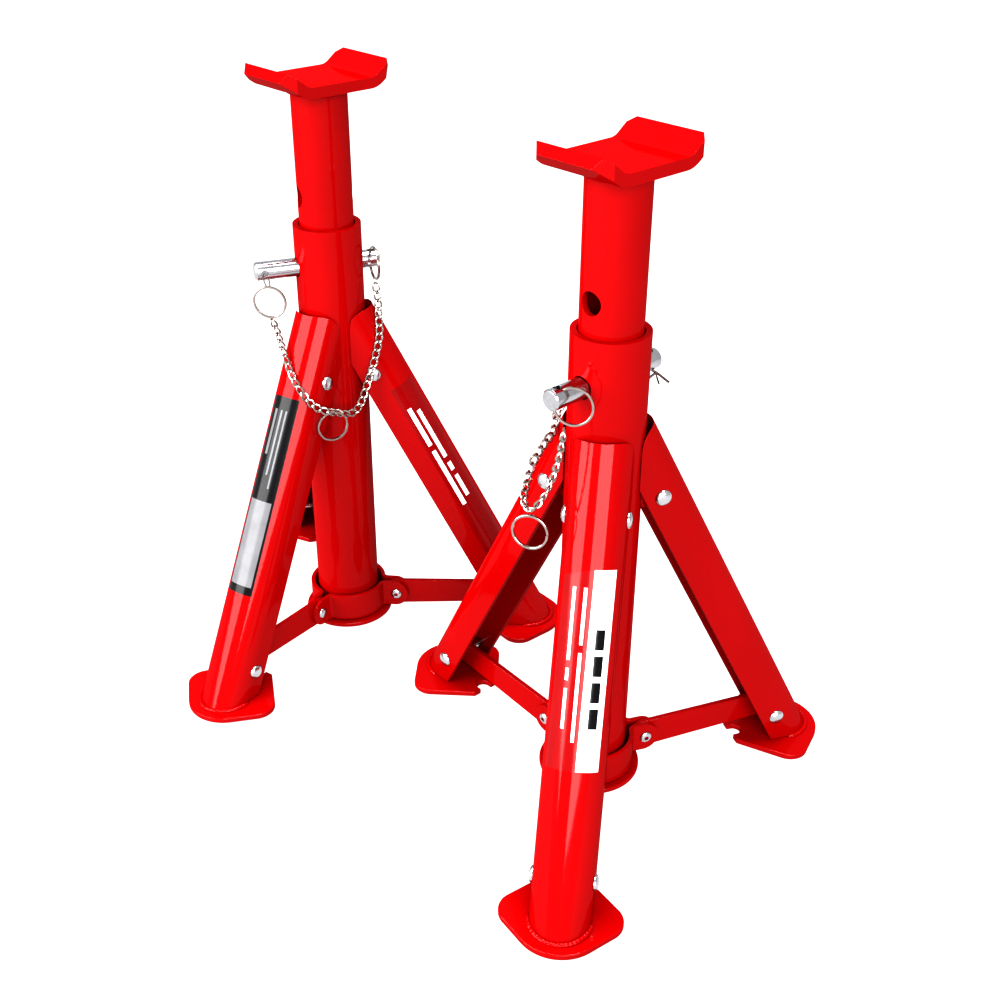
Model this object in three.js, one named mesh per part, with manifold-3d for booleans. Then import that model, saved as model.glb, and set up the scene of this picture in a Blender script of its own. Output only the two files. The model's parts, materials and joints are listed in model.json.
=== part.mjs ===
// A pair of folding tripod axle stands: millimetres, +Z up, feet on z = 0.
import * as THREE from 'three';
import Module from 'manifold-3d';
import { mergeVertices } from 'three/addons/utils/BufferGeometryUtils.js';

const wasm = await Module();
wasm.setup();

// ---- driving dimensions ----
const GAP = 0.3;                 // clearance between touching pieces
const RAD = Math.PI / 180;

const POST = { outer: 20, inner: 16.7, bottom: 5.8, top: 272 };
const FLANGE = { outer: 28.7, inner: 16.7, bottom: 2.5, thickness: 3 };
const COLUMN = { outer: 16, inner: 13, bottom: 89, top: 349 };
const NOTCH_PITCH = 41.7;        // height from one pin hole to the next
const NOTCHES_BELOW = 2;         // hidden pin holes below the one in use
const PIN_HEIGHT = 247;
const PIN = { radius: 5.5, length: 75, chamfer: 1, endToHole: 5, hole: 2.6 };
const PIN_HOLE = 6;

const SADDLE = {
  width: 47, flatHalf: 19, bendRadius: 9, lipAngle: 36 * RAD, lipLength: 11, thickness: 6, chamfer: 7,
};

const LEG = { radius: 15.8, wall: 2.8, side: 9.2, lean: 27.5 * RAD, mouth: { out: 24.2, across: 18.85 } };
const LEG_PIVOT = { r: 26.9, z: 182.9 };
const FOOT_PIVOT = { r: 110.9, z: 20.9 };
const LEG_RUN = { above: 50, below: 235 };
const LEG_RIVET = { shank: 2.8, head: 4.5, dome: 2.2 };

const LUG = { inner: 7, thickness: 2.7, radius: 7.5, root: 12 };

const FOOT = {
  thickness: 3.5, inner: 90.5, tip: 9, notch: 4, notchDepth: 6.5,
  side: { x: 118.2, y: 20.7, radius: 11.3 }, front: { x: 120.3, radius: 24.5 },
};

const COLLAR = { inner: 22.5, wall: 2.5, height: 18, earLateral: 1.8, pivotR: 33.2, pivotZ: 15.5 };
const COLLAR_RIVET = { shank: 2.4, head: 3.6, dome: 1.6 };
const STRUT = { height: 18, thickness: 3, cut: 9.8, hole: 2.8 };

const RING = { radius: 9.5, wire: 0.8, offset: 8.9 };
const SPARE_RING = { radius: 9, wire: 0.8 };
const CLIP = { wire: 0.8, above: 7, below: 7.5, eye: 4 };
const CHAIN_RADIUS = 1.6;

// Leg bearings from leg 1, and each stand's place, bearing of leg 1, pin shift and chain route.
// A saddle's turn is from the pin's line. A ring's turn is its swivel about an upright line at the pin's hole;
// one with a hang is linked below the hole.
const LEG_BEARINGS = [0, 117.5, 232].map((a) => a * RAD);
const PIN_BEARING = -36.5 * RAD;
const STANDS = [
  {
    name: 'stand1', x: 0, y: 0, bearing: -100 * RAD, pinShift: 3.5, saddleTurn: 0,
    frontRing: { turn: 31 * RAD }, frontHoleTurn: 0,
    chain: [
      [-22.3, -26.6, 231], [-23, -29, 226.5], [-24.5, -33, 220], [-27, -36.5, 212], [-30.5, -39, 203.5],
      [-35.5, -40, 196], [-39.5, -37, 193], [-41, -30.5, 195], [-40, -23, 198], [-38, -15.5, 203],
      [-34.5, -9.5, 208.5], [-30.5, -4, 212], [-26, 3.5, 215], [-25, 9.5, 220], [-21.5, 14, 225.5],
      [-16.5, 18, 231], [-12, 22, 233.5], [-6.5, 26, 233.5], [1, 28, 232], [8.5, 28, 230],
      [15, 25.5, 228.5], [21, 20.5, 229],
    ],
    spare: { at: [-38, -39.3, 181.6], turn: -20 * RAD },
  },
  {
    name: 'stand2', x: -155.4, y: 159.5, bearing: -122.5 * RAD, pinShift: 7.2, saddleTurn: 22 * RAD,
    frontRing: { turn: 80 * RAD, hang: 19 }, frontHoleTurn: 90 * RAD, rearRing: { turn: 0 },
    chain: [
      [-34.5, -13.4, 216.5], [-31.5, -17, 211], [-28, -25, 205], [-24.5, -32, 198], [-20.5, -38, 190],
      [-15.5, -42.5, 182.5], [-9.5, -44, 175], [-3, -43, 170], [3.5, -39, 167.5], [9.5, -34.5, 164],
      [14, -30.5, 163.5], [18, -27.5, 168], [21, -25, 177], [24.5, -22.5, 186.5], [27.5, -19, 197],
      [29.5, -14.5, 206.5], [29, -8.5, 217], [28.5, -3, 226.5], [27, 0.5, 234],
    ],
    spare: { at: [2, -41.5, 156], turn: 65 * RAD },
  },
];

const ENAMEL = { color: 0xe00a0e, roughness: 0.25, metalness: 0.1 };
const CHROME = { color: 0xd8d8da, roughness: 0.15, metalness: 1 };
const NICKEL = { color: 0xb9b2a8, roughness: 0.3, metalness: 1 };

// ---- solids ----
function solid(geometry, matrix) {
  const bare = geometry.clone();
  bare.deleteAttribute('normal');
  bare.deleteAttribute('uv');
  if (matrix) bare.applyMatrix4(matrix);
  const merged = mergeVertices(bare, 1e-4);
  const vertProperties = new Float32Array(merged.attributes.position.array);
  const triVerts = new Uint32Array(merged.index.array);
  return new wasm.Manifold(new wasm.Mesh({ numProp: 3, vertProperties, triVerts }));
}

function toGeometry(manifold) {
  const mesh = manifold.getMesh();
  const geometry = new THREE.BufferGeometry();
  geometry.setAttribute('position', new THREE.BufferAttribute(mesh.vertProperties, 3));
  geometry.setIndex(new THREE.BufferAttribute(mesh.triVerts, 1));
  geometry.computeVertexNormals();
  return geometry;
}

function moved(x, y, z) {
  return new THREE.Matrix4().makeTranslation(x, y, z);
}

// A cylinder lying along an axis given by its two end points.
function rod(radius, from, to, sides = 12) {
  const start = new THREE.Vector3(...from);
  const end = new THREE.Vector3(...to);
  const axis = end.clone().sub(start);
  const direction = axis.clone().normalize();
  const turn = new THREE.Quaternion().setFromUnitVectors(new THREE.Vector3(0, 1, 0), direction);
  const middle = start.clone().add(end).multiplyScalar(0.5);
  const matrix = new THREE.Matrix4().compose(middle, turn, new THREE.Vector3(1, 1, 1));
  return solid(new THREE.CylinderGeometry(radius, radius, axis.length(), sides), matrix);
}

// A ring of rectangular section round the z axis.
function ringSolid(outer, inner, bottom, top, sides = 32) {
  const profile = [
    new THREE.Vector2(inner, bottom), new THREE.Vector2(outer, bottom),
    new THREE.Vector2(outer, top), new THREE.Vector2(inner, top), new THREE.Vector2(inner, bottom),
  ];
  return solid(new THREE.LatheGeometry(profile, sides), new THREE.Matrix4().makeRotationX(Math.PI / 2));
}

// A flat outline in the r-z plane, thickened along the lateral axis y.
function sidePlate(shape, y0, y1) {
  const options = { depth: y1 - y0, bevelEnabled: false, curveSegments: 4 };
  const geometry = new THREE.ExtrudeGeometry(shape, options);
  const basis = new THREE.Matrix4().makeBasis(
    new THREE.Vector3(1, 0, 0), new THREE.Vector3(0, 0, 1), new THREE.Vector3(0, -1, 0));
  return solid(geometry, basis.setPosition(0, y1, 0));
}

function wire(points, radius, steps, sides = 8) {
  const section = new THREE.Shape();
  section.absarc(0, 0, radius, 0, 2 * Math.PI);
  const extrudePath = new THREE.CatmullRomCurve3(points.map((p) => new THREE.Vector3(...p)));
  const options = { steps, extrudePath, curveSegments: sides / 2, bevelEnabled: false };
  return new THREE.ExtrudeGeometry(section, options);
}

// A hole right through a tube, along x at one height.
function crossHole(radius, z) {
  return rod(radius, [-40, 0, z], [40, 0, z], 16);
}

// ---- post, with its six welded lug plates ----
function lugPlate(side) {
  const outline = new THREE.Shape();
  outline.moveTo(LUG.root, LEG_PIVOT.z + LUG.radius);
  outline.lineTo(LEG_PIVOT.r, LEG_PIVOT.z + LUG.radius);
  outline.absarc(LEG_PIVOT.r, LEG_PIVOT.z, LUG.radius, Math.PI / 2, -Math.PI / 2, true);
  outline.lineTo(LUG.root, LEG_PIVOT.z - LUG.radius);
  const near = side > 0 ? LUG.inner : -LUG.inner - LUG.thickness;
  return sidePlate(outline, near, near + LUG.thickness);
}

function postTube(bearing) {
  let body = ringSolid(POST.outer, POST.outer - 4, POST.bottom, POST.top);
  for (const leg of LEG_BEARINGS) {
    const turn = [0, 0, (leg + bearing) / RAD];
    body = body.add(lugPlate(1).rotate(turn)).add(lugPlate(-1).rotate(turn));
    const across = LUG.inner + LUG.thickness + 2;
    const near = [LEG_PIVOT.r, -across, LEG_PIVOT.z];
    const far = [LEG_PIVOT.r, across, LEG_PIVOT.z];
    const hole = rod(LEG_RIVET.shank + GAP, near, far);
    body = body.subtract(hole.rotate(turn));
  }
  body = body.subtract(rod(POST.inner, [0, 0, POST.bottom - 1], [0, 0, POST.top + 1], 32));
  const pinHole = crossHole(PIN_HOLE, PIN_HEIGHT).rotate([0, 0, (bearing + PIN_BEARING) / RAD]);
  return toGeometry(body.subtract(pinHole));
}

function postFlange() {
  return toGeometry(ringSolid(FLANGE.outer, FLANGE.inner, FLANGE.bottom, FLANGE.bottom + FLANGE.thickness));
}

// ---- sliding column: one round hole above the pin, and the settings below it joined in a slot ----
function columnTube() {
  let body = ringSolid(COLUMN.outer, COLUMN.inner, COLUMN.bottom, COLUMN.top);
  body = body.subtract(crossHole(PIN_HOLE, PIN_HEIGHT + NOTCH_PITCH));
  const lowest = PIN_HEIGHT - NOTCHES_BELOW * NOTCH_PITCH;
  const slot = new THREE.BoxGeometry(80, 2 * PIN_HOLE, PIN_HEIGHT - lowest);
  body = body.subtract(crossHole(PIN_HOLE, PIN_HEIGHT));
  body = body.subtract(crossHole(PIN_HOLE, lowest));
  return toGeometry(body.subtract(solid(slot, moved(0, 0, (PIN_HEIGHT + lowest) / 2))));
}

// ---- saddle: a thick strip, flat in the middle, both ends bent up ----
function saddleProfile() {
  const { flatHalf, bendRadius, lipAngle, lipLength, thickness } = SADDLE;
  const steps = 5;
  const under = [];
  const over = [];
  for (let i = 0; i <= steps; i++) {
    const a = lipAngle * i / steps;
    const top = COLUMN.top + thickness + bendRadius;
    const outer = bendRadius + thickness;
    under.push([flatHalf + outer * Math.sin(a), top - outer * Math.cos(a)]);
    over.push([flatHalf + bendRadius * Math.sin(a), top - bendRadius * Math.cos(a)]);
  }
  const run = [lipLength * Math.cos(lipAngle), lipLength * Math.sin(lipAngle)];
  under.push([under[steps][0] + run[0], under[steps][1] + run[1]]);
  over.push([over[steps][0] + run[0], over[steps][1] + run[1]]);
  const right = under.concat(over.reverse());
  const left = right.map(([x, z]) => [-x, z]).reverse();
  return new THREE.Shape(right.concat(left).map(([x, z]) => new THREE.Vector2(x, z)));
}

function saddle() {
  const { width, chamfer, flatHalf, bendRadius, thickness, lipAngle, lipLength } = SADDLE;
  const strip = sidePlate(saddleProfile(), -width / 2, width / 2);
  const bend = (bendRadius + thickness) * Math.sin(lipAngle);
  const reach = flatHalf + bend + lipLength * Math.cos(lipAngle);
  const half = width / 2;
  const plan = new THREE.Shape([
    [-reach, chamfer - half], [chamfer - reach, -half], [reach - chamfer, -half], [reach, chamfer - half],
    [reach, half - chamfer], [reach - chamfer, half], [chamfer - reach, half], [-reach, half - chamfer],
  ].map(([x, y]) => new THREE.Vector2(x, y)));
  const block = new THREE.ExtrudeGeometry(plan, { depth: 60, bevelEnabled: false });
  return toGeometry(strip.intersect(solid(block, moved(0, 0, COLUMN.top - 10))).translate([0, 0, GAP]));
}

// ---- pin, lying along x, front end at +x, with a cross hole at each end; its rings and its clip ----
// The rear hole is upright; the front one is turned from upright by frontTurn.
function pin(frontTurn) {
  const half = PIN.length / 2;
  const profile = [
    [0, -half], [PIN.radius - PIN.chamfer, -half], [PIN.radius, PIN.chamfer - half],
    [PIN.radius, half - PIN.chamfer], [PIN.radius - PIN.chamfer, half], [0, half],
  ].map(([x, y]) => new THREE.Vector2(x, y));
  let body = solid(new THREE.LatheGeometry(profile, 16), new THREE.Matrix4().makeRotationZ(-Math.PI / 2));
  const across = rod(PIN.hole, [0, 0, -PIN.radius - 1], [0, 0, PIN.radius + 1], 12);
  const hole = half - PIN.endToHole;
  body = body.subtract(across.rotate([frontTurn / RAD, 0, 0]).translate([hole, 0, 0]));
  return toGeometry(body.subtract(across.translate([-hole, 0, 0])));
}

function splitRing({ radius, wire: half }) {
  return new THREE.TorusGeometry(radius, half, 5, 16);
}

function hairpin() {
  const eye = [];
  const turns = 10;
  for (let i = 0; i < turns; i++) {
    const a = Math.PI / 2 - i / turns * 1.9 * Math.PI;
    eye.push([0, CLIP.eye * Math.cos(a), -CLIP.below - CLIP.eye + CLIP.eye * Math.sin(a)]);
  }
  return wire([[0, 0, CLIP.above], [0, 0, 4], [0, 0, -4], ...eye], CLIP.wire, 20, 6);
}

// ---- leg: a half-round channel, open towards the post, its top cut in an oval that clears it ----
function legSection() {
  const { radius, wall, side } = LEG;
  const section = new THREE.Shape();
  section.moveTo(-side, radius);
  section.lineTo(0, radius);
  section.absarc(0, 0, radius, Math.PI / 2, -Math.PI / 2, true);
  section.lineTo(-side, -radius);
  section.lineTo(-side, wall - radius);
  section.lineTo(0, wall - radius);
  section.absarc(0, 0, radius - wall, -Math.PI / 2, Math.PI / 2, false);
  section.lineTo(-side, radius - wall);
  return section;
}

function leg() {
  const channel = new THREE.ExtrudeGeometry(legSection(), {
    depth: LEG_RUN.above + LEG_RUN.below, bevelEnabled: false, curveSegments: 6,
  });
  const outward = new THREE.Vector3(Math.cos(LEG.lean), 0, Math.sin(LEG.lean));
  const down = new THREE.Vector3(Math.sin(LEG.lean), 0, -Math.cos(LEG.lean));
  const start = new THREE.Vector3(LEG_PIVOT.r, 0, LEG_PIVOT.z).addScaledVector(down, -LEG_RUN.above);
  const place = new THREE.Matrix4().makeBasis(outward, new THREE.Vector3(0, -1, 0), down).setPosition(start);
  let body = solid(channel, place);
  const mouth = rod(LEG.mouth.out, [0, 0, 100], [0, 0, 300], 24);
  body = body.subtract(mouth.scale([1, LEG.mouth.across / LEG.mouth.out, 1]));
  const ground = new THREE.BoxGeometry(400, 100, 100);
  body = body.subtract(solid(ground, moved(100, 0, FOOT.thickness + GAP - 50)));
  for (const pivot of [LEG_PIVOT, FOOT_PIVOT]) {
    body = body.subtract(rod(LEG_RIVET.shank + GAP, [pivot.r, -20, pivot.z], [pivot.r, 20, pivot.z], 10));
  }
  return toGeometry(body);
}

// ---- foot plate: a square set cornerwise, its front and side corners rounded, its rear one notched ----
function foot() {
  const { inner, tip, notch, notchDepth, side, front } = FOOT;
  const turn = Math.PI / 4;
  const outline = new THREE.Shape();
  outline.moveTo(inner, tip);
  outline.absarc(side.x, side.y, side.radius, 3 * turn, turn, true);
  outline.absarc(front.x, 0, front.radius, turn, -turn, true);
  outline.absarc(side.x, -side.y, side.radius, -turn, -3 * turn, true);
  outline.lineTo(inner, -tip);
  outline.lineTo(inner, -notch);
  outline.lineTo(inner + notchDepth - notch, -notch);
  outline.absarc(inner + notchDepth - notch, 0, notch, -Math.PI / 2, Math.PI / 2, false);
  outline.lineTo(inner, notch);
  const options = { depth: FOOT.thickness, bevelEnabled: false, curveSegments: 6 };
  return new THREE.ExtrudeGeometry(outline, options);
}

// ---- rivets, axis along the lateral y ----
function dome(radius, height, y, outwards) {
  const profile = [[0, 0], [radius, 0], [0.75 * radius, height], [0, height]];
  const lathe = new THREE.LatheGeometry(profile.map(([x, h]) => new THREE.Vector2(x, h)), 10);
  const turn = new THREE.Matrix4().makeTranslation(0, y, 0);
  if (outwards < 0) turn.multiply(new THREE.Matrix4().makeRotationX(Math.PI));
  return solid(lathe, turn);
}

function throughRivet({ shank, head, dome: height }, half) {
  const body = rod(shank, [0, -half - 0.1, 0], [0, half + 0.1, 0], 10);
  return toGeometry(body.add(dome(head, height, half, 1)).add(dome(head, height, -half, -1)));
}

// Only this much of the strut's leg rivet is made here, so that the strut's far end stays free.
function stubRivet({ shank, head, dome: height }, half) {
  const body = rod(shank, [0, half - LEG.wall - GAP, 0], [0, half + 0.1, 0], 10);
  return toGeometry(body.add(dome(head, height, half, 1)));
}

// ---- collar: three straps whose ears hold the strut ends ----
function earPlate(side) {
  const r = COLLAR.pivotR;
  const half = COLLAR.height / 2;
  const outline = new THREE.Shape();
  outline.moveTo(COLLAR.inner + COLLAR.wall / 2, half);
  outline.lineTo(r - 1, half);
  outline.absarc(r - 1, 0, half, Math.PI / 2, -Math.PI / 2, true);
  outline.lineTo(COLLAR.inner + COLLAR.wall / 2, -half);
  const near = side > 0 ? COLLAR.earLateral : -COLLAR.earLateral - COLLAR.wall;
  return sidePlate(outline, near, near + COLLAR.wall);
}

function collarStrap(bearingA, bearingB) {
  const edge = Math.asin((COLLAR.earLateral + 0.2) / COLLAR.inner);
  const from = bearingA + edge;
  const to = bearingB - edge;
  const outer = COLLAR.inner + COLLAR.wall;
  const arc = new THREE.Shape();
  arc.absarc(0, 0, outer, from, to, false);
  arc.absarc(0, 0, COLLAR.inner, to, from, true);
  const options = { depth: COLLAR.height, bevelEnabled: false, curveSegments: 5 };
  const band = new THREE.ExtrudeGeometry(arc, options);
  let body = solid(band, moved(0, 0, -COLLAR.height / 2));
  body = body.add(earPlate(1).rotate([0, 0, bearingA / RAD]));
  body = body.add(earPlate(-1).rotate([0, 0, bearingB / RAD]));
  for (const bearing of [bearingA, bearingB]) {
    const hole = rod(COLLAR_RIVET.shank + GAP, [COLLAR.pivotR, -9, 0], [COLLAR.pivotR, 9, 0], 10);
    body = body.subtract(hole.rotate([0, 0, bearing / RAD]));
  }
  return toGeometry(body);
}

// ---- strut: a flat bar along x from its collar rivet; its far end stops short of the leg rivet ----
function strut() {
  const reach = Math.hypot(FOOT_PIVOT.r - COLLAR.pivotR, FOOT_PIVOT.z - COLLAR.pivotZ) - STRUT.cut;
  const half = STRUT.height / 2;
  const outline = new THREE.Shape();
  outline.moveTo(0, half);
  outline.lineTo(reach - half, half);
  outline.absarc(reach - half, 0, half, Math.PI / 2, -Math.PI / 2, true);
  outline.lineTo(0, -half);
  outline.absarc(0, 0, half, -Math.PI / 2, Math.PI / 2, true);
  const bar = sidePlate(outline, -STRUT.thickness / 2, STRUT.thickness / 2);
  return toGeometry(bar.subtract(rod(STRUT.hole, [0, -5, 0], [0, 5, 0], 10)));
}

// ---- assembly ----
function mesh(name, geometry, finish) {
  const node = new THREE.Mesh(geometry, new THREE.MeshStandardMaterial(finish));
  node.name = name;
  return node;
}

function turned(bearing) {
  const group = new THREE.Group();
  group.rotation.z = bearing;
  return group;
}

function put(parent, node, x, y, z) {
  node.position.set(x, y, z);
  parent.add(node);
  return node;
}

function addLeg(stand, name, number, bearing) {
  const side = turned(bearing);
  stand.add(side);
  side.add(mesh(`${name}_leg_${number}`, leg(), ENAMEL));
  side.add(mesh(`${name}_foot_${number}`, foot(), ENAMEL));
  const headSeat = LEG.radius + GAP;
  const upper = mesh(`${name}_leg_rivet_${number}`, throughRivet(LEG_RIVET, headSeat), CHROME);
  put(side, upper, LEG_PIVOT.r, 0, LEG_PIVOT.z);
  const lower = mesh(`${name}_foot_rivet_${number}`, stubRivet(LEG_RIVET, headSeat), CHROME);
  put(side, lower, FOOT_PIVOT.r, 0, FOOT_PIVOT.z);
  const bar = mesh(`${name}_strut_${number}`, strut(), ENAMEL);
  put(side, bar, COLLAR.pivotR, 0, COLLAR.pivotZ);
  bar.rotation.y = -Math.atan2(FOOT_PIVOT.z - COLLAR.pivotZ, FOOT_PIVOT.r - COLLAR.pivotR);
  const earSeat = COLLAR.earLateral + COLLAR.wall + GAP;
  const ear = mesh(`${name}_collar_rivet_${number}`, throughRivet(COLLAR_RIVET, earSeat), CHROME);
  put(side, ear, COLLAR.pivotR, 0, COLLAR.pivotZ);
}

// A ring through the pin's upright hole stands out to one side of the pin; one with a hang is below it.
function addRing(line, name, x, { turn, hang }) {
  const upright = new THREE.Group();
  const out = hang ? 0 : RING.offset;
  put(line, upright, x - out * Math.sin(turn), out * Math.cos(turn), PIN_HEIGHT - (hang ?? 0));
  upright.rotation.z = turn;
  const ring = mesh(name, splitRing(RING), NICKEL);
  ring.rotation.y = Math.PI / 2;
  upright.add(ring);
}

function addPin(stand, { name, bearing, pinShift, frontRing, frontHoleTurn, rearRing }) {
  const line = turned(bearing + PIN_BEARING);
  stand.add(line);
  put(line, mesh(`${name}_pin`, pin(frontHoleTurn), CHROME), pinShift, 0, PIN_HEIGHT);
  const hole = PIN.length / 2 - PIN.endToHole;
  addRing(line, `${name}_pin_ring`, pinShift + hole, frontRing);
  if (rearRing) {
    addRing(line, `${name}_rear_ring`, pinShift - hole, rearRing);
  } else {
    put(line, mesh(`${name}_hairpin`, hairpin(), NICKEL), pinShift - hole, 0, PIN_HEIGHT);
  }
}

function addStand(place) {
  const { name, x, y, bearing, chain, spare } = place;
  const stand = new THREE.Group();
  stand.position.set(x, y, 0);
  stand.add(mesh(`${name}_post_tube`, postTube(bearing), ENAMEL));
  stand.add(mesh(`${name}_post_flange`, postFlange(), ENAMEL));
  const column = turned(bearing + PIN_BEARING);
  stand.add(column);
  column.add(mesh(`${name}_column_tube`, columnTube(), ENAMEL));
  const seat = turned(place.saddleTurn);
  column.add(seat);
  seat.add(mesh(`${name}_saddle`, saddle(), ENAMEL));
  addPin(stand, place);
  LEG_BEARINGS.forEach((leg, i) => {
    addLeg(stand, name, i + 1, bearing + leg);
    const next = i < 2 ? LEG_BEARINGS[i + 1] : 2 * Math.PI;
    const strap = mesh(`${name}_collar_strap_${i + 1}`, collarStrap(bearing + leg, bearing + next), ENAMEL);
    put(stand, strap, 0, 0, COLLAR.pivotZ);
  });
  stand.add(mesh(`${name}_chain`, wire(chain, CHAIN_RADIUS, 32, 6), NICKEL));
  const loop = splitRing(SPARE_RING).rotateX(Math.PI / 2);
  const extra = put(stand, mesh(`${name}_chain_ring`, loop, NICKEL), ...spare.at);
  extra.rotation.z = spare.turn;
  return stand;
}

// The pair stands centred on the origin; the loose chains don't count in its box.
const pair = new THREE.Group();
STANDS.forEach((stand) => pair.add(addStand(stand)));
pair.updateMatrixWorld(true);
const box = new THREE.Box3();
pair.traverse((node) => {
  if (node.isMesh && !node.name.includes('chain')) box.expandByObject(node, true);
});
const centre = box.getCenter(new THREE.Vector3());
pair.position.set(-centre.x, -centre.y, 0);

export default pair;
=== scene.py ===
"""A pair of folding axle stands in gloss red enamel, with chromed pins, split rings and curb chains.

Lengths are in metres, +Z up. A stand's own frame has its post on the z axis; a leg's frame has x outwards
along the leg's bearing and y across it; the pin's frame has x along the pin, front end at +x.
"""
import json
import math
import random

import bpy
from mathutils import Matrix, Vector

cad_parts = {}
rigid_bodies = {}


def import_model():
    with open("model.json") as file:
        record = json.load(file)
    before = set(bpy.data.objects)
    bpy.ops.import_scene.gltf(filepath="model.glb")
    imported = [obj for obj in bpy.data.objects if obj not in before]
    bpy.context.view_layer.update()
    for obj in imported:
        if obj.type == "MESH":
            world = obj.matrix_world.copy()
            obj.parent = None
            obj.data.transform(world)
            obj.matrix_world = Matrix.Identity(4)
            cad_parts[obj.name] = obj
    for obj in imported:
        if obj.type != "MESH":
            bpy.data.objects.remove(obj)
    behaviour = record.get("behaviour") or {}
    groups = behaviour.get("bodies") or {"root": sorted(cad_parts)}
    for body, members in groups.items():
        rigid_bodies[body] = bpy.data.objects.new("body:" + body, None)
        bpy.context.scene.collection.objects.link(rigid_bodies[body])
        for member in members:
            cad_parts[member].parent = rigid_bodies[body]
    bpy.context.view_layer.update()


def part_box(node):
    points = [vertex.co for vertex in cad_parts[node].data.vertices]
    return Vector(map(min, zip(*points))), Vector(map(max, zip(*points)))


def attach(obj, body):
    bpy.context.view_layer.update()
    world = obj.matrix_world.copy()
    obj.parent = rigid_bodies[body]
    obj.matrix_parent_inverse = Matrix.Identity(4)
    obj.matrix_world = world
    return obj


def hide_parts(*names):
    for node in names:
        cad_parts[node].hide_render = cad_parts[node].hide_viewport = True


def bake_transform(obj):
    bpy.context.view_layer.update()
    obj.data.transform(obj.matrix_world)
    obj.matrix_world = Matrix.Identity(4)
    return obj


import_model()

MM = 0.001

POST = {"outer": 20 * MM, "inner": 16.7 * MM, "bottom": 5.8 * MM, "top": 272 * MM}
FLANGE = {"outer": 28.7 * MM, "bottom": 2.5 * MM, "top": 5.5 * MM}
COLUMN = {"outer": 16 * MM, "inner": 13 * MM, "bottom": 89 * MM, "top": 349 * MM}
PIN_HEIGHT = 247 * MM
PIN_HOLE = 6 * MM
NOTCH_PITCH = 41.7 * MM
PIN = {"radius": 5.5 * MM, "half": 37.5 * MM, "chamfer": 0.8 * MM, "end_to_hole": 5 * MM, "hole": 2.2 * MM}
PIN_BEARING = math.radians(-36.5)
SADDLE = {"half_width": 23.5 * MM, "flat_half": 19 * MM, "bend": 9 * MM, "lip_angle": math.radians(36),
          "lip": 11 * MM, "thickness": 6 * MM, "corner": 7 * MM, "bottom": 349.3 * MM}
LEG = {"radius": 15.8 * MM, "wall": 2.8 * MM, "side": 9.2 * MM, "lean": math.radians(27.5)}
LEG_BEARINGS = {1: 0.0, 2: math.radians(117.5), 3: math.radians(232)}
LEG_PIVOT = Vector((26.9 * MM, 0, 182.9 * MM))
FOOT_PIVOT = Vector((110.9 * MM, 0, 20.9 * MM))
LEG_MOUTH = (24.2 * MM, 18.85 * MM)
LEG_RIVET = {"shank": 2.8 * MM, "head": 4.5 * MM, "dome": 2.2 * MM}
LUG = {"inner": 7 * MM, "thickness": 2.7 * MM, "radius": 7.5 * MM, "root": 18 * MM}
FOOT = {"thickness": 3.5 * MM, "inner": 90.5 * MM, "tip": 9 * MM, "notch": 4 * MM, "notch_depth": 6.5 * MM,
        "side": (118.2 * MM, 20.7 * MM), "side_radius": 11.3 * MM, "front": 120.3 * MM,
        "front_radius": 24.5 * MM}
COLLAR = {"radius": 23.75 * MM, "wall": 2.5 * MM, "half_height": 9 * MM, "ear_lateral": 3.05 * MM,
          "bend": 3.5 * MM}
COLLAR_PIVOT = Vector((33.2 * MM, 0, 15.5 * MM))
COLLAR_RIVET = {"shank": 2.4 * MM, "head": 3.6 * MM, "dome": 1.6 * MM}
STRUT = {"half_height": 9 * MM, "far_half": 7.8 * MM, "thickness": 3 * MM}
RING = {"radius": 9.5 * MM, "wire": 0.5 * MM, "offset": 8.9 * MM}
STAND1_FRONT_RING = {"from_post": Vector((-0.0183, -0.0269, 0.2433)), "normal": (0.229, 0.971, -0.071)}
SPARE_RING_RADIUS = 9 * MM
LINK = {"half_length": 3.2 * MM, "half_width": 1.9 * MM, "wire": 0.62 * MM, "pitch": 5 * MM,
        "twist": math.radians(42)}
EDGE = 0.45 * MM
CAMERA = {"lens": 46.65, "sensor": 36, "pitch": math.radians(60.13), "roll": math.radians(0.43),
          "from_stand1": Vector((-0.05266, -0.57906, 0.50944))}
WORLD_STRENGTH = 0.72
FLOOR_HALF = 6
FLOOR_DROP = 0.5 * MM

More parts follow.
